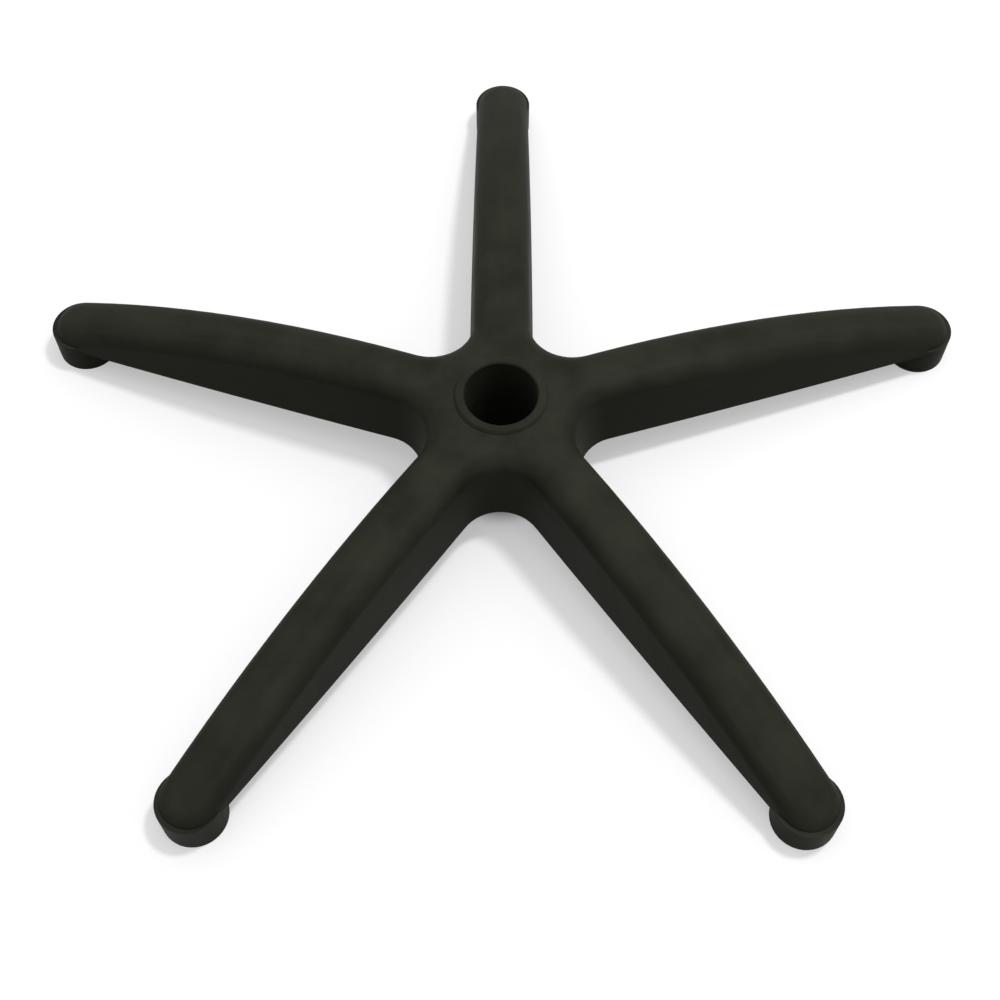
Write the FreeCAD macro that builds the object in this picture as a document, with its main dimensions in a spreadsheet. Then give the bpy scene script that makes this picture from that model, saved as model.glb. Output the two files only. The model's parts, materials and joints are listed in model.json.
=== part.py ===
import FreeCAD, Part
import math
import os
import Sketcher
from FreeCAD import Vector

# Five star base of an office chair, one moulding in black glass-filled nylon.
# The outside is a star of five drafted arms under one crowned top. The underside is hollow, with a
# rib grid in every arm, a sleeve round the tapered column bore and a caster boss under each arm end.
# Millimetres. The hub axis is Z, the floor is z = 0, and the first arm points along +Y.

SIZES = [
    ("arm_count", 5, "arms, evenly spaced round the hub"),
    ("caster_circle_radius", 325, "hub axis to caster axis"),
    ("end_setback", 1.5, "middle of an arm's round end, inside the caster axis"),
    ("top_half_width", 19, "half width of an arm across its top, before the edge is rounded"),
    ("root_overlap", 20, "how far an arm's inner end lies past the hub axis"),
    ("crotch_radius", 29, "plan radius where two arms meet"),
    ("draft_angle", 4, "lean of the outer walls, degrees"),
    ("crown_height", 83, "flat top of the hub above the floor"),
    ("crown_tip_height", 38, "crowned top above the floor, over the middle of the round end"),
    ("skirt_hub_height", 28.7, "lower edge of the walls above the floor, all round the hub"),
    ("skirt_tip_height", 20.5, "lower edge of the walls above the floor, at the round end"),
    ("top_edge_radius", 14, "round along the top edge of the star"),
    ("wall", 4.5, "outer wall and crown"),
    ("rib", 3.2, "thickness of the ribs"),
    ("rib_recess", 3, "ribs stop this far above the lower edge of the walls"),
    ("cross_rib_count", 4, "cross ribs in each arm"),
    ("first_cross_rib", 92, "hub axis to the first cross rib"),
    ("cross_rib_pitch", 52, "between cross ribs"),
    ("crotch_rib_reach", 62, "hub axis to the outer end of the ribs between the arms"),
    ("column_radius", 25, "straight mouth of the column bore"),
    ("mouth_depth", 6, "length of the straight mouth"),
    ("taper_half_angle", 1.4378, "half angle of the column taper, degrees"),
    ("hub_wall", 7, "wall of the sleeve at the mouth"),
    ("collar_height", 2.5, "sleeve stands above the hub's flat top"),
    ("collar_chamfer", 1.8, "chamfer on the collar's outer edge"),
    ("mouth_chamfer", 1.2, "chamfer at the mouth of the column bore"),
    ("hub_floor_gap", 12, "lower end of the sleeve above the floor"),
    ("crown_margin", 1, "level top runs past the rounds between the arms by this much"),
    ("boss_radius", 21.5, "outside of a caster boss"),
    ("boss_wall", 4, "ring wall of a caster boss"),
    ("socket_radius", 5.5, "caster stem socket"),
    ("socket_depth", 24, "depth of a caster stem socket"),
    ("socket_wall", 4, "tube round a caster stem socket"),
    ("pocket_depth", 22, "depth of the pockets round a caster stem socket"),
    ("overrun", 5, "how far cutting forms run past the material"),
]

# The arms leave the hub's level top just past the rounds between them, and the crown then follows one
# arc down to its height over the middle of the arm's round end. That end stands across the arc, where
# the middle of the arm comes down to the lower edge of the walls.
DEPTH = "(Sizes.crown_height - Sizes.skirt_tip_height)"
STUB_FOOT = f"(Sizes.top_half_width + {DEPTH} * tan(Sizes.draft_angle * 1deg))"
CROWN_START = f"(({STUB_FOOT} + Sizes.crotch_radius) / tan(180deg / Sizes.arm_count) + Sizes.crown_margin)"
CROWN_RUN = f"(Sizes.caster_circle_radius - Sizes.end_setback - {CROWN_START})"
CROWN_DROP = "(Sizes.crown_height - Sizes.crown_tip_height)"
CROWN_ARC = f"(({CROWN_RUN}^2 + {CROWN_DROP}^2) / (2 * {CROWN_DROP}))"
ARM_SWING = f"atan({CROWN_RUN} / ({CROWN_ARC} - {DEPTH}))"
SLEEVE_RADIUS = "(Sizes.column_radius + Sizes.hub_wall)"
COLLAR_TOP = "(Sizes.crown_height + Sizes.collar_height)"
OUTSIDE = "(Sizes.caster_circle_radius + 2 * Sizes.top_half_width)"
BOSS_TOP = "(Sizes.skirt_tip_height + 1.5 * Sizes.rib_recess)"
SKIRT_FALL = "(Sizes.skirt_hub_height - Sizes.skirt_tip_height)"

doc = FreeCAD.newDocument("five_star_base")
sheet = doc.addObject("Spreadsheet::Sheet", "Sizes")
for row, (alias, number, meaning) in enumerate(SIZES, start=1):
    sheet.set(f"A{row}", meaning)
    sheet.set(f"B{row}", str(number))
    sheet.setAlias(f"B{row}", alias)
doc.recompute()


def size(expression):
    """The number that a sheet expression comes to."""
    return float(sheet.evalExpression(expression))


def datum(body, role):
    return next(item for item in body.Origin.OriginFeatures if item.Role == role)


def new_sketch(body, name, role):
    sketch = body.newObject("Sketcher::SketchObject", name)
    sketch.AttachmentSupport = [(datum(body, role), "")]
    sketch.MapMode = "FlatFace"
    return sketch


def tie(sketch, kind, *refs):
    return sketch.addConstraint(Sketcher.Constraint(kind, *refs))


def dimension(sketch, name, kind, refs, expression):
    """A named dimension of a sketch that follows a sheet expression."""
    index = tie(sketch, kind, *refs, size(expression))
    sketch.renameConstraint(index, name)
    sketch.setExpression(f"Constraints.{name}", expression)


def profile(sketch, corners):
    """A closed outline of straight lines through named corners, each placed by two sheet expressions."""
    points = [Vector(size(x), size(y), 0) for _, x, y in corners]
    lines = [
        sketch.addGeometry(Part.LineSegment(start, end))
        for start, end in zip(points, points[1:] + points[:1])
    ]
    for line, after in zip(lines, lines[1:] + lines[:1]):
        tie(sketch, "Coincident", line, 2, after, 1)
    for line, (name, x, y) in zip(lines, corners):
        for axis, expression in (("X", x), ("Y", y)):
            if size(expression) == 0:
                tie(sketch, "PointOnObject", line, 1, -2 if axis == "X" else -1)
            else:
                dimension(sketch, name + axis, "Distance" + axis, (-1, 1, line, 1), expression)


def bind(feature, **expressions):
    for name, expression in expressions.items():
        feature.setExpression(name, str(expression))
    return feature


def pad(body, name, sketch, length, **expressions):
    feature = body.newObject("PartDesign::Pad", name)
    feature.Profile = sketch
    return bind(feature, Length=length, **expressions)


def revolve(body, name, sketch, cut=False):
    """A full turn of a sketch round its own vertical axis, added or cut away."""
    feature = body.newObject("PartDesign::Groove" if cut else "PartDesign::Revolution", name)
    feature.Profile = sketch
    feature.ReferenceAxis = (sketch, ["V_Axis"])
    feature.Angle = 360
    return feature


def round_the_arms(body, name, features):
    """Repeats features for every arm, turned about the hub axis."""
    feature = body.newObject("PartDesign::PolarPattern", name)
    feature.Originals = features
    feature.Axis = (datum(body, "Z_Axis"), [""])
    feature.Angle = 360
    bind(feature, Occurrences="Sizes.arm_count")
    body.Tip = feature
    return feature


def edge_names(feature, wanted):
    """Names of the edges of a feature that a test picks out."""
    doc.recompute()
    return [f"Edge{i}" for i, edge in enumerate(feature.Shape.Edges, start=1) if wanted(edge)]


def fillet(body, name, base, wanted, radius):
    names = edge_names(base, wanted)
    feature = body.newObject("PartDesign::Fillet", name)
    feature.Base = (base, names)
    return bind(feature, Radius=radius)


def chamfer(body, name, base, wanted, leg):
    names = edge_names(base, wanted)
    feature = body.newObject("PartDesign::Chamfer", name)
    feature.Base = (base, names)
    return bind(feature, Size=leg)


def middle(edge):
    return edge.valueAt((edge.FirstParameter + edge.LastParameter) / 2)


def lean(depth):
    """How far a drafted wall stands out at a depth below the top."""
    return f"({depth}) * tan(Sizes.draft_angle * 1deg)"


def arm_section(sketch, inset, sides, bevel):
    """An arm's cross section, drawn from the centre of the crown arc up: crown, edge and drafted wall.

    The edge is a round, or a bevel where one is given. With both sides it is the whole section, and with
    one side it is closed along the middle of the arm.
    """
    top, bottom = f"({CROWN_ARC} - {inset})", f"({CROWN_ARC} - {inset} - {DEPTH})"
    corner, foot = f"(Sizes.top_half_width - {inset})", f"(Sizes.top_half_width - {inset} + {lean(DEPTH)})"
    radius = f"(Sizes.top_edge_radius - {inset})"
    turn = "(Sizes.draft_angle * 1deg)"
    if bevel:
        level_end = f"({corner} - {bevel})"
        wall_start = (f"({corner} + {bevel} * sin{turn})", f"({top} - {bevel} * cos{turn})")
    else:
        level_end = f"({corner} + {radius} * (tan{turn} - 1 / cos{turn}))"
        wall_start = (f"({level_end} + {radius} * cos{turn})", f"({top} - {radius} * (1 - sin{turn}))")
    whole = len(sides) == 2

    def line(start, end):
        return sketch.addGeometry(Part.LineSegment(Vector(*start, 0), Vector(*end, 0)))

    crown = line((-size(level_end) if whole else 0, size(top)), (size(level_end), size(top)))
    base = line((-size(foot) if whole else 0, size(bottom)), (size(foot), size(bottom)))
    tie(sketch, "Horizontal", crown)
    tie(sketch, "Horizontal", base)
    dimension(sketch, "top", "DistanceY", (-1, 1, crown, 1), top)
    dimension(sketch, "bottom", "DistanceY", (-1, 1, base, 1), bottom)
    for side in sides:
        name, outer_end = ("right", 2) if side > 0 else ("left", 1)
        start = (side * size(wall_start[0]), size(wall_start[1]))
        wall = line(start, (side * size(foot), size(bottom)))
        tie(sketch, "Coincident", wall, 2, base, outer_end)

        def across(label, geometry, point, expression):
            ends = (-1, 1, geometry, point) if side > 0 else (geometry, point, -1, 1)
            dimension(sketch, f"{name}_{label}", "DistanceX", ends, expression)

        across("foot", wall, 2, foot)
        across("wall", wall, 1, wall_start[0])
        dimension(sketch, name + "_drop", "DistanceY", (-1, 1, wall, 1), wall_start[1])
        across("level", crown, outer_end, level_end)
        if bevel:
            edge = line((side * size(level_end), size(top)), start)
            tie(sketch, "Coincident", edge, 1, crown, outer_end)
            tie(sketch, "Coincident", edge, 2, wall, 1)
        else:
            centre = Vector(side * size(level_end), size(top) - size(radius), 0)
            lean_angle = math.radians(size("Sizes.draft_angle"))
            span = (lean_angle, math.pi / 2) if side > 0 else (math.pi / 2, math.pi - lean_angle)
            circle = Part.Circle(centre, Vector(0, 0, 1), size(radius))
            edge = sketch.addGeometry(Part.ArcOfCircle(circle, *span))
            tie(sketch, "Coincident", edge, outer_end, crown, outer_end)
            tie(sketch, "Coincident", edge, 3 - outer_end, wall, 1)
            dimension(sketch, name + "_round", "Radius", (edge,), radius)
    if not whole:
        middle_line = line((0, size(bottom)), (0, size(top)))
        tie(sketch, "Coincident", middle_line, 2, crown, 1)
        tie(sketch, "Coincident", middle_line, 1, base, 1)
        tie(sketch, "PointOnObject", middle_line, 1, -2)
        tie(sketch, "PointOnObject", middle_line, 2, -2)


def crown_centre_sketch(body, name):
    """A sketch across an arm where it leaves the hub, with its origin on the centre of the crown arc."""
    sketch = new_sketch(body, name, "XZ_Plane")
    sketch.setExpression("AttachmentOffset.Base.y", f"Sizes.crown_height - {CROWN_ARC}")
    sketch.setExpression("AttachmentOffset.Base.z", f"-{CROWN_START}")
    return sketch


def star_form(name, inset, bevel=None):
    """The star under its crown, with walls and crown moved inwards by a sheet expression.

    Its top edge is round, or bevelled where the size of a bevel is given.
    """
    body = doc.addObject("PartDesign::Body", name)
    step = 360 / size("Sizes.arm_count")

    # The hub: straight stubs of all the arms with a level top, rounded where two of them meet.
    top = f"(Sizes.crown_height - {inset})"
    low = f"({top} - {DEPTH})"
    half, foot = f"(Sizes.top_half_width - {inset})", f"(Sizes.top_half_width - {inset} + {lean(DEPTH)})"
    stub_plan = new_sketch(body, name + "_stub_section", "XZ_Plane")
    stub_plan.setExpression("AttachmentOffset.Base.z", f"-{CROWN_START}")
    profile(stub_plan, [
        ("top_right", half, top),
        ("low_right", foot, low),
        ("low_left", f"-{foot}", low),
        ("top_left", f"-{half}", top),
    ])
    stub = pad(body, name + "_stub", stub_plan, f"{CROWN_START} + Sizes.root_overlap")
    stubs = round_the_arms(body, name + "_stubs", [stub])

    def in_crotch(edge):
        spot = middle(edge)
        turn = math.degrees(math.atan2(spot.x, -spot.y)) % step
        rises = abs(edge.Vertexes[0].Z - edge.Vertexes[-1].Z) > size(DEPTH) / 2
        return rises and min(turn, step - turn) < 1

    crotches = fillet(body, name + "_crotches", stubs, in_crotch, f"Sizes.crotch_radius + {inset}")

    def on_level_edge(edge):
        spot = middle(edge)
        turn = math.degrees(math.atan2(spot.x, spot.y)) % step
        level = all(abs(vertex.Z - size(top)) < 0.01 for vertex in edge.Vertexes)
        return level and min(turn, step - turn) > 1

    if bevel:
        chamfer(body, name + "_hub_edge", crotches, on_level_edge, bevel)
    else:
        fillet(body, name + "_hub_edge", crotches, on_level_edge, f"Sizes.top_edge_radius - {inset}")

    # The arms: the same section swung down along the crown arc, and half a turn of it at the end.
    section = crown_centre_sketch(body, name + "_arm_section")
    arm_section(section, inset, (1, -1), bevel)
    arm = body.newObject("PartDesign::Revolution", name + "_arm")
    arm.Profile = section
    arm.ReferenceAxis = (section, ["H_Axis"])
    arm.Reversed = True
    bind(arm, Angle=ARM_SWING)
    end_section = crown_centre_sketch(body, name + "_end_section")
    end_section.AttachmentOffset.Rotation = FreeCAD.Rotation(Vector(1, 0, 0), -size(ARM_SWING))
    end_section.setExpression("AttachmentOffset.Rotation.Angle", f"-{ARM_SWING}")
    arm_section(end_section, inset, (1,), bevel)
    end = revolve(body, name + "_end", end_section)
    end.Angle = 180
    round_the_arms(body, name + "_arms", [arm, end])
    return body


def trim_below(body, name, lift):
    """Cuts away what lies under the lower edge of the walls, raised by a sheet expression.

    The edge is level round the hub and slopes down along each arm.
    """
    under = new_sketch(body, name, "YZ_Plane")
    edge = f"(Sizes.skirt_hub_height + {lift})"
    profile(under, [
        ("floor_axis", "0", "-Sizes.crown_height"),
        ("floor_out", OUTSIDE, "-Sizes.crown_height"),
        ("edge_out", OUTSIDE, f"{edge} - {SKIRT_FALL} * ({OUTSIDE} - {CROWN_START}) / {CROWN_RUN}"),
        ("edge_arm", CROWN_START, edge),
        ("edge_axis", "0", edge),
    ])
    cut = body.newObject("PartDesign::Pocket", name + "_cut")
    cut.Profile = under
    cut.Midplane = True
    bind(cut, Length=f"2 * ({STUB_FOOT} + Sizes.crotch_radius)")
    round_the_arms(body, name + "_cuts", [cut])


# The outside of the moulding, down to the lower edge of its walls.
outer = star_form("outer", "0")
trim_below(outer, "outer_skirt", "0")

# The hollow of the moulding: the same star, one wall thickness in. Its bevel runs along the middle of
# the round that would keep the wall even.
core = star_form("core", "Sizes.wall", bevel="((Sizes.top_edge_radius - Sizes.wall) * (2 - sqrt(2)))")


def standing_walls():
    """What stays solid inside the hollow: the rib grid, the sleeve and the caster bosses."""
    body = doc.addObject("PartDesign::Body", "standing_walls")
    body.AllowCompound = True
    height = "2 * Sizes.crown_height"

    sleeve = new_sketch(body, "sleeve_plan", "XY_Plane")
    circle = sleeve.addGeometry(Part.Circle(Vector(0, 0, 0), Vector(0, 0, 1), size(SLEEVE_RADIUS)))
    tie(sleeve, "Coincident", circle, 3, -1, 1)
    dimension(sleeve, "sleeve", "Radius", (circle,), SLEEVE_RADIUS)
    pad(body, "sleeve_wall", sleeve, height)

    # One long rib runs down the middle of an arm and on through the hub to the crotch behind it.
    spine = new_sketch(body, "spine_plan", "XY_Plane")
    profile(spine, [
        ("right_in", "Sizes.rib / 2", "-Sizes.crotch_rib_reach"),
        ("right_out", "Sizes.rib / 2", "Sizes.caster_circle_radius"),
        ("left_out", "-Sizes.rib / 2", "Sizes.caster_circle_radius"),
        ("left_in", "-Sizes.rib / 2", "-Sizes.crotch_rib_reach"),
    ])
    spine_rib = pad(body, "spine_rib", spine, height)

    boss = new_sketch(body, "boss_plan", "XY_Plane")
    circle = boss.addGeometry(
        Part.Circle(Vector(0, size("Sizes.caster_circle_radius"), 0), Vector(0, 0, 1), size("Sizes.boss_radius"))
    )
    tie(boss, "PointOnObject", circle, 3, -2)
    dimension(boss, "reach", "DistanceY", (-1, 1, circle, 3), "Sizes.caster_circle_radius")
    dimension(boss, "boss", "Radius", (circle,), "Sizes.boss_radius")
    boss_wall = pad(body, "boss_wall", boss, height)
    round_the_arms(body, "spines_and_bosses", [spine_rib, boss_wall])

    cross = new_sketch(body, "cross_plan", "XY_Plane")
    inner = "(Sizes.first_cross_rib - Sizes.rib / 2)"
    profile(cross, [
        ("right_in", STUB_FOOT, inner),
        ("right_out", STUB_FOOT, f"{inner} + Sizes.rib"),
        ("left_out", f"-{STUB_FOOT}", f"{inner} + Sizes.rib"),
        ("left_in", f"-{STUB_FOOT}", inner),
    ])
    cross_rib = pad(body, "cross_rib", cross, height)
    grid = body.newObject("PartDesign::MultiTransform", "cross_ribs")
    grid.Originals = [cross_rib]
    along = body.newObject("PartDesign::LinearPattern", "along_the_arm")
    along.Direction = (cross, ["V_Axis"])
    bind(
        along,
        Length="Sizes.cross_rib_pitch * (Sizes.cross_rib_count - 1)",
        Occurrences="Sizes.cross_rib_count",
    )
    around = body.newObject("PartDesign::PolarPattern", "round_the_hub")
    around.Axis = (datum(body, "Z_Axis"), [""])
    around.Angle = 360
    bind(around, Occurrences="Sizes.arm_count")
    grid.Transformations = [along, around]
    body.Tip = grid
    trim_below(body, "rib_edge", "Sizes.rib_recess")
    return body


def hub_sleeve():
    """The sleeve round the column, from its lower end up to a low collar on the hub's top."""
    body = doc.addObject("PartDesign::Body", "hub_sleeve")
    plan = new_sketch(body, "hub_plan", "XZ_Plane")
    profile(plan, [
        ("low_axis", "0", "Sizes.hub_floor_gap"),
        ("low_out", SLEEVE_RADIUS, "Sizes.hub_floor_gap"),
        ("top_out", SLEEVE_RADIUS, COLLAR_TOP),
        ("top_axis", "0", COLLAR_TOP),
    ])
    turned = revolve(body, "sleeve", plan)
    rim_height = size(COLLAR_TOP)

    def on_rim(edge):
        return all(abs(vertex.Z - rim_height) < 0.01 for vertex in edge.Vertexes) and edge.Length > 1

    chamfer(body, "collar_edge", turned, on_rim, "Sizes.collar_chamfer")
    return body


def caster_axis_sketch(body, name, corners):
    """A sketch whose vertical axis is the first arm's caster axis."""
    plan = new_sketch(body, name, "YZ_Plane")
    plan.setExpression("AttachmentOffset.Base.x", "Sizes.caster_circle_radius")
    profile(plan, corners)
    return plan


def caster_bosses():
    """The round bosses under the arm ends, which stand on the floor when no caster is fitted."""
    body = doc.addObject("PartDesign::Body", "caster_bosses")
    body.AllowCompound = True
    plan = caster_axis_sketch(body, "boss_profile", [
        ("low_axis", "0", "0"),
        ("low_out", "Sizes.boss_radius", "0"),
        ("high_out", "Sizes.boss_radius", BOSS_TOP),
        ("high_axis", "0", BOSS_TOP),
    ])
    round_the_arms(body, "bosses", [revolve(body, "boss", plan)])
    return body


def column_bore():
    """The bore for the gas column: chamfered mouth, straight lead-in, then the long taper."""
    body = doc.addObject("PartDesign::Body", "column_bore")
    plan = new_sketch(body, "bore_profile", "XZ_Plane")
    below = "(Sizes.hub_floor_gap - Sizes.overrun)"
    taper_length = f"({COLLAR_TOP} - Sizes.mouth_depth - {below})"
    profile(plan, [
        ("low_axis", "0", below),
        ("low_out", f"Sizes.column_radius - {taper_length} * tan(Sizes.taper_half_angle * 1deg)", below),
        ("taper_top", "Sizes.column_radius", f"{COLLAR_TOP} - Sizes.mouth_depth"),
        ("mouth", "Sizes.column_radius", f"{COLLAR_TOP} - Sizes.mouth_chamfer"),
        ("lip", "Sizes.column_radius + 2 * Sizes.mouth_chamfer", f"{COLLAR_TOP} + Sizes.mouth_chamfer"),
        ("high_axis", "0", f"{COLLAR_TOP} + Sizes.mouth_chamfer"),
    ])
    revolve(body, "bore", plan)
    return body


def caster_hollows():
    """Stem sockets up the caster axes, each in a tube that one rib along the arm ties to the boss."""
    body = doc.addObject("PartDesign::Body", "caster_hollows")
    body.AllowCompound = True
    tube = "(Sizes.socket_radius + Sizes.socket_wall)"
    inside = "(Sizes.boss_radius - Sizes.boss_wall)"
    ring = caster_axis_sketch(body, "pocket_profile", [
        ("low_in", tube, "-Sizes.overrun"),
        ("low_out", inside, "-Sizes.overrun"),
        ("high_out", inside, "Sizes.pocket_depth"),
        ("high_in", tube, "Sizes.pocket_depth"),
    ])
    ring_pocket = revolve(body, "ring_pocket", ring)

    plate = new_sketch(body, "pocket_rib_plan", "XY_Plane")
    plate.setExpression("AttachmentOffset.Base.y", "Sizes.caster_circle_radius")
    half, reach = "Sizes.rib / 2", "Sizes.boss_radius"
    profile(plate, [
        ("right_in", half, f"-{reach}"),
        ("right_out", half, reach),
        ("left_out", f"-{half}", reach),
        ("left_in", f"-{half}", f"-{reach}"),
    ])
    pocket_rib = body.newObject("PartDesign::Pocket", "pocket_rib")
    pocket_rib.Profile = plate
    pocket_rib.Type = "ThroughAll"
    pocket_rib.Midplane = True

    stem = caster_axis_sketch(body, "socket_profile", [
        ("low_axis", "0", "-Sizes.overrun"),
        ("low_out", "Sizes.socket_radius", "-Sizes.overrun"),
        ("high_out", "Sizes.socket_radius", "Sizes.socket_depth"),
        ("high_axis", "0", "Sizes.socket_depth"),
    ])
    socket = revolve(body, "socket", stem)
    round_the_arms(body, "hollows", [ring_pocket, pocket_rib, socket])
    return body


def combine(kind, name, base, tool):
    feature = doc.addObject(kind, name)
    feature.Base = base
    feature.Tool = tool
    feature.Refine = True
    return feature


# The moulding: the outside less the open cells between the ribs, with the sleeve and bosses joined
# on below, then bored for the column and the caster stems.
cells = combine("Part::Cut", "cells", core, standing_walls())
shell = combine("Part::Cut", "shell", outer, cells)
sleeved = combine("Part::Fuse", "sleeved", shell, hub_sleeve())
footed = combine("Part::Fuse", "footed", sleeved, caster_bosses())
bored = combine("Part::Cut", "bored", footed, column_bore())
star_base = combine("Part::Cut", "star_base", bored, caster_hollows())
star_base.Label = "star_base"
doc.recompute()

for item in doc.Objects:
    if "Invalid" in item.State or "Error" in item.State:
        raise RuntimeError(f"{item.Label} failed: {item.getStatusString()}")
solid = star_base.Shape
if solid.isNull() or not solid.isValid() or len(solid.Solids) != 1:
    raise RuntimeError("the moulding is not one sound solid")

os.makedirs("parts", exist_ok=True)
solid.exportStep(f"parts/{star_base.Label}.step")
print(f"star_base: {solid.Volume / 1000:.1f} cm3, {len(solid.Faces)} faces")
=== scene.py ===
import json
import math

import bpy
from mathutils import Matrix, Vector

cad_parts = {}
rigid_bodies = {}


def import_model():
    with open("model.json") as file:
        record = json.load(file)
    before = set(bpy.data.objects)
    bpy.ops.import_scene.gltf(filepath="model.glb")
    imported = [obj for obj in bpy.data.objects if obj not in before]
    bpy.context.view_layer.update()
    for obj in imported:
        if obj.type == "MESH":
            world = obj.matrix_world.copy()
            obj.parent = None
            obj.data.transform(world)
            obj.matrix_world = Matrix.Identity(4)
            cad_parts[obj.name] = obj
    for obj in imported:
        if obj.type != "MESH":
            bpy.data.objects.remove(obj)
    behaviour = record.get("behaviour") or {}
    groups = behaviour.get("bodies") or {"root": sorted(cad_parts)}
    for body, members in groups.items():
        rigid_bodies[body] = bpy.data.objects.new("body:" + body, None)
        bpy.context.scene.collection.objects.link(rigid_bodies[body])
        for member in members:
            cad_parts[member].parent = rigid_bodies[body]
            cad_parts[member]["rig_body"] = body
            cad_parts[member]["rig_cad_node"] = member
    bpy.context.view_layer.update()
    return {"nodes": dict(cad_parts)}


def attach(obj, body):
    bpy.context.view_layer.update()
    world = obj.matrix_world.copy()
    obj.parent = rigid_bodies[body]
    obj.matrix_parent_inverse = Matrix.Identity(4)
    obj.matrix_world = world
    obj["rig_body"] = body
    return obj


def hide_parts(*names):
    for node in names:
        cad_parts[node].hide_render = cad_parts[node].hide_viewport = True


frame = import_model()

# Five star base. The whole base is one injection moulding in black glass-filled nylon: hub, arched
# hollow arms, ribs and caster bosses. Its edges come softened out of a mould with a fine grain, and
# the glass fibres leave faint streaks where the melt ran out along the arms.
weld_distance = 0.00001
flat_within = math.radians(0.02)
softened_width = 0.00015
softened_from = math.radians(40)
smooth_below = math.radians(50)

bpy.ops.object.select_all(action="DESELECT")
moulding_node = frame["nodes"]["star_base"]
moulding_node.select_set(True)
bpy.context.view_layer.objects.active = moulding_node
bpy.ops.object.duplicate()
star_base = bpy.context.active_object
star_base.name = "moulded_star_base"
star_base.data.name = "moulded_star_base"
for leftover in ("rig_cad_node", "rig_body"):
    del star_base[leftover]
star_base.parent = None
star_base.matrix_world = Matrix.Identity(4)

bpy.ops.object.mode_set(mode="EDIT")
bpy.ops.mesh.select_all(action="SELECT")
bpy.ops.mesh.remove_doubles(threshold=weld_distance)
bpy.ops.mesh.customdata_custom_splitnormals_clear()
bpy.ops.mesh.dissolve_limited(angle_limit=flat_within)
bpy.ops.object.mode_set(mode="OBJECT")
bpy.ops.object.modifier_add(type="BEVEL")
edge_soften = star_base.modifiers[-1]
edge_soften.width = softened_width
edge_soften.segments = 2
edge_soften.limit_method = "ANGLE"
edge_soften.angle_limit = softened_from
edge_soften.use_clamp_overlap = False
edge_soften.loop_slide = False
bpy.ops.object.modifier_apply(modifier=edge_soften.name)
bpy.ops.object.shade_smooth_by_angle(angle=smooth_below)
bpy.ops.object.modifier_add(type="WEIGHTED_NORMAL")
even_shading = star_base.modifiers[-1]
even_shading.mode = "FACE_AREA"
even_shading.keep_sharp = True
bpy.ops.object.modifier_apply(modifier=even_shading.name)


class Shade:
    """A socket of one node tree, so that shader maths reads as Python."""

    def __init__(self, tree, socket):
        self.tree = tree
        self.socket = socket

    def node(self, kind, settings=None, output=0, **inputs):
        """Add a node. Its inputs go by label, or by i and a number where labels repeat."""
        made = self.tree.nodes.new(kind)
        for name, value in (settings or {}).items():
            setattr(made, name, value)
        for name, value in inputs.items():
            numbered = name[0] == "i" and name[1:].isdigit()
            target = made.inputs[int(name[1:]) if numbered else name.replace("_", " ")]
            if isinstance(value, Shade):
                self.tree.links.new(value.socket, target)
            else:
                target.default_value = value
        return Shade(self.tree, made.outputs[output])

    def maths(self, operation, *values):
        inputs = {f"i{i}": value for i, value in enumerate(values)}
        return self.node("ShaderNodeMath", {"operation": operation}, **inputs)

    def __add__(self, other):
        return self.maths("ADD", self, other)

    def __sub__(self, other):
        return self.maths("SUBTRACT", self, other)

    def __rsub__(self, other):
        return self.maths("SUBTRACT", other, self)

    def __mul__(self, other):
        return self.maths("MULTIPLY", self, other)

    __radd__ = __add__
    __rmul__ = __mul__


def coordinates(tree, kind):
    return Shade(tree, tree.nodes.new("ShaderNodeTexCoord").outputs[kind])


dark_nylon = (0.0176, 0.0185, 0.0128, 1.0)
light_nylon = (0.0286, 0.0300, 0.0212, 1.0)
# Lighter nylon for the edges: partly rubbed wear, partly painted sheen.
rubbed_and_sheen_nylon = (0.050, 0.051, 0.042, 1.0)
grain_scale = 1500.0
grain_height = 0.00015
grain_middle = 0.5
grain_share = 0.5
mottle_scale = 28.0
noise_range = {"From_Min": 0.35, "From_Max": 0.65}
streaks_round = 20.0
streaks_out = 9.0
streaks_up = 60.0
streak_share = 0.32
streak_range = {"From_Min": 0.07, "From_Max": 0.17}
edge_radius = 0.0016
edge_range = {"From_Min": 0.985, "From_Max": 0.88}
rub_and_sheen_share = 0.4
plain_roughness = 0.46
mottle_dulls = 0.10
grain_dulls = 0.08
rub_polishes = 0.12

nylon = bpy.data.materials.new("black_grained_nylon")
nylon.use_nodes = True
nylon_tree = nylon.node_tree
nylon_shader = nylon_tree.nodes["Principled BSDF"]
place = coordinates(nylon_tree, "Object")
grain = place.node(
    "ShaderNodeTexNoise", Vector=place, Scale=grain_scale, Detail=3.0, Roughness=0.6,
)
mottle = place.node(
    "ShaderNodeTexNoise", Vector=place, Scale=mottle_scale, Detail=4.0, Roughness=0.55,
)
cloud = mottle.node("ShaderNodeMapRange", Value=mottle, **noise_range)

# The streaks are noise on a bearing round the hub, drawn long along the reach out from it.
level = place.node(
    "ShaderNodeVectorMath", {"operation": "MULTIPLY"}, i0=place, i1=(1.0, 1.0, 0.0),
)
reach = level.node("ShaderNodeVectorMath", {"operation": "LENGTH"}, output=1, i0=level)
bearing = level.node("ShaderNodeVectorMath", {"operation": "NORMALIZE"}, i0=level)
bearing = bearing.node(
    "ShaderNodeVectorMath", {"operation": "SCALE"}, i0=bearing, Scale=streaks_round,
)
rise = place.node("ShaderNodeSeparateXYZ", output=2, Vector=place)
flow = bearing.node(
    "ShaderNodeVectorMath", {"operation": "ADD"}, i0=bearing,
    i1=reach.node("ShaderNodeCombineXYZ", Z=streaks_out * reach + streaks_up * rise),
)
streak = flow.node("ShaderNodeTexNoise", Vector=flow, Scale=1.0, Detail=3.0, Roughness=0.5)
streak = streak.node("ShaderNodeMapRange", Value=streak, **noise_range)
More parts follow.
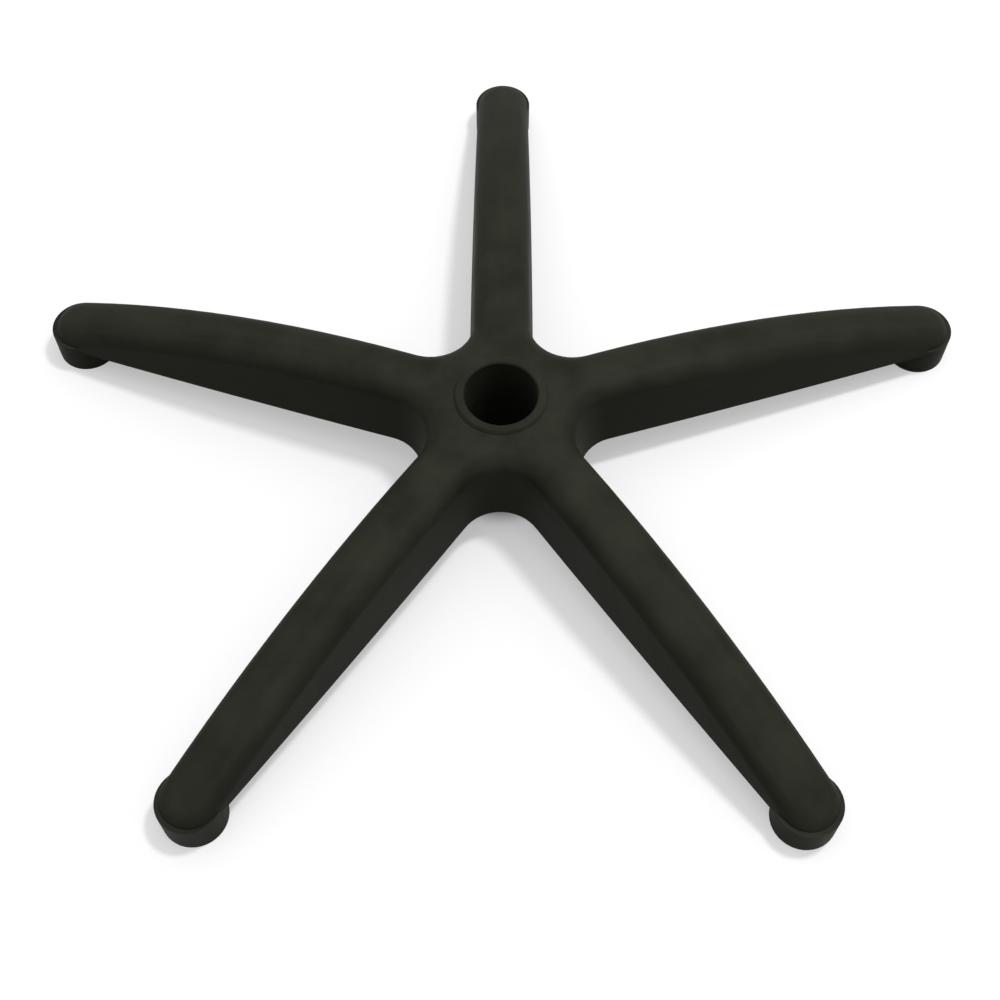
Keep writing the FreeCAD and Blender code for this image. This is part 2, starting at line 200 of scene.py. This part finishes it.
out_on_arm = reach.node("ShaderNodeMapRange", Value=reach, **streak_range)

# Edges are lighter where a normal that is rounded off over them leaves the surface's own: partly
# rubbed wear, partly a painted sheen on the edges.
soft_normal = place.node("ShaderNodeBevel", {"samples": 6}, Radius=edge_radius)
true_normal = place.node("ShaderNodeNewGeometry", output=1)
turned = place.node(
    "ShaderNodeVectorMath", {"operation": "DOT_PRODUCT"}, output=1,
    i0=soft_normal, i1=true_normal,
)
rubbed_and_sheen_edges = turned.node("ShaderNodeMapRange", Value=turned, **edge_range)

streaked = cloud + streak_share * out_on_arm * (streak - cloud)
colour = cloud.node(
    "ShaderNodeMix", {"data_type": "RGBA"}, output=2,
    i0=streaked + grain_share * (grain - grain_middle), i6=dark_nylon, i7=light_nylon,
)
# The edges are mixed toward the lighter nylon, partly as rubbed wear and partly as painted sheen.
colour = colour.node(
    "ShaderNodeMix", {"data_type": "RGBA"}, output=2,
    i0=rub_and_sheen_share * rubbed_and_sheen_edges, i6=colour, i7=rubbed_and_sheen_nylon,
)
roughness = plain_roughness + mottle_dulls * cloud + grain_dulls * grain - rub_polishes * rubbed_and_sheen_edges
bump = grain.node("ShaderNodeBump", Strength=0.7, Distance=grain_height, Height=grain)
nylon_tree.links.new(colour.socket, nylon_shader.inputs["Base Color"])
nylon_tree.links.new(roughness.socket, nylon_shader.inputs["Roughness"])
nylon_tree.links.new(bump.socket, nylon_shader.inputs["Normal"])
nylon_shader.inputs["IOR"].default_value = 1.53
nylon_shader.inputs["Specular IOR Level"].default_value = 0.03
star_base.data.materials.clear()
star_base.data.materials.append(nylon)
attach(star_base, "root")
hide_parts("star_base")

# Floor. A plain white sheet that the base stands on, with the base's soft shadow on it. It is
# white to the eye and in reflections, and throws little light back up at the black moulding. Right
# below the hub
# it has painted shade: its colour and glow fade to dark, so that the bore looks as black as a deep
# hole does.
white = (1.0, 1.0, 1.0, 1.0)
sheet_size = 14.0
thrown_back = 0.12
more_to_eye = 0.50
hub_shade_range = {"From_Min": 0.032, "From_Max": 0.056}
glow_range = {"From_Min": 0.35, "From_Max": 2.5, "To_Min": 0.39, "To_Max": 1.0}


def seen_by_eye(tree):
    """1 for a ray from the camera, off a gloss or through something clear, and 0 for others."""
    ray = tree.nodes.new("ShaderNodeLightPath")
    seen = Shade(tree, ray.outputs["Is Camera Ray"])
    for kind in ("Is Glossy Ray", "Is Transmission Ray"):
        seen = seen.maths("MAXIMUM", seen, Shade(tree, ray.outputs[kind]))
    return seen


bpy.ops.object.select_all(action="DESELECT")
bpy.ops.mesh.primitive_plane_add(size=sheet_size, location=(0.0, 0.0, 0.0))
floor = bpy.context.active_object
floor.name = "floor"
paper = bpy.data.materials.new("white_paper")
paper.use_nodes = True
paper_tree = paper.node_tree
paper_shader = paper_tree.nodes["Principled BSDF"]
paper_shader.inputs["Roughness"].default_value = 0.9
paper_shader.inputs["Specular IOR Level"].default_value = 0.0
seen = seen_by_eye(paper_tree)
sheet_place = coordinates(paper_tree, "Object")
sheet_reach = sheet_place.node(
    "ShaderNodeVectorMath", {"operation": "LENGTH"}, output=1, i0=sheet_place,
)
# Painted shade: the sheet's colour and glow fade to dark right below the hub.
clear_of_painted_hub_shade = sheet_reach.node(
    "ShaderNodeMapRange", {"interpolation_type": "SMOOTHSTEP"},
    Value=sheet_reach, **hub_shade_range,
)
paper_colour = clear_of_painted_hub_shade * (thrown_back + more_to_eye * seen)
paper_tree.links.new(paper_colour.socket, paper_shader.inputs["Base Color"])
far_white = sheet_reach.node("ShaderNodeMapRange", Value=sheet_reach, **glow_range)
glow = seen.node(
    "ShaderNodeEmission", Color=white, Strength=far_white * clear_of_painted_hub_shade * seen,
)
both = seen.node(
    "ShaderNodeAddShader", i0=Shade(paper_tree, paper_shader.outputs["BSDF"]), i1=glow,
)
paper_tree.links.new(both.socket, paper_tree.nodes["Material Output"].inputs["Surface"])
floor.data.materials.append(paper)

# Studio light. A room that is brightest overhead, and one lamp high on the right of the base, which
# draws its shadow out to the left.
room_at_horizon = 0.03
room_overhead = 1.25
lamp_place = (0.74, 0.22, 2.35)

world = bpy.data.worlds.new("studio_room")
bpy.context.scene.world = world
world.use_nodes = True
room_tree = world.node_tree
room = room_tree.nodes["Background"]
sky_place = coordinates(room_tree, "Generated")
height = sky_place.node("ShaderNodeSeparateXYZ", output=2, Vector=sky_place)
overhead = height.maths("MAXIMUM", height, 0.0)
room_light = room_at_horizon + room_overhead * overhead * overhead
backdrop = seen_by_eye(room_tree)
brightness = backdrop.maths("MAXIMUM", backdrop, room_light)
room_tree.links.new(brightness.socket, room.inputs["Strength"])
room.inputs["Color"].default_value = white
bpy.ops.object.light_add(type="AREA", location=lamp_place)
key_lamp = bpy.context.active_object
key_lamp.name = "key_lamp"
key_lamp.data.shape = "DISK"
key_lamp.data.size = 0.34
key_lamp.data.energy = 27.0
key_lamp.rotation_euler = (-key_lamp.location).to_track_quat("-Z", "Y").to_euler()

# Camera. It stands in front of the base and looks down on it steeply, turned and shifted by the
# little that lays the base over its outline in the photograph.
elevation = math.radians(59.45)
turn = Matrix.Rotation(math.radians(0.255), 3, "Z")
aim_y = -0.0325
distance = 1.0728

forward = turn @ Vector((0.0, math.cos(elevation), -math.sin(elevation)))
aim = turn @ Vector((0.0, aim_y, 0.0))
bpy.ops.object.camera_add(location=aim - distance * forward)
camera = bpy.context.active_object
camera.rotation_euler = forward.to_track_quat("-Z", "Y").to_euler()
camera.data.sensor_width = 36.0
camera.data.lens = 54.72
camera.data.shift_x = -0.0010
bpy.context.scene.camera = camera

bpy.context.scene.view_settings.view_transform = "Standard"
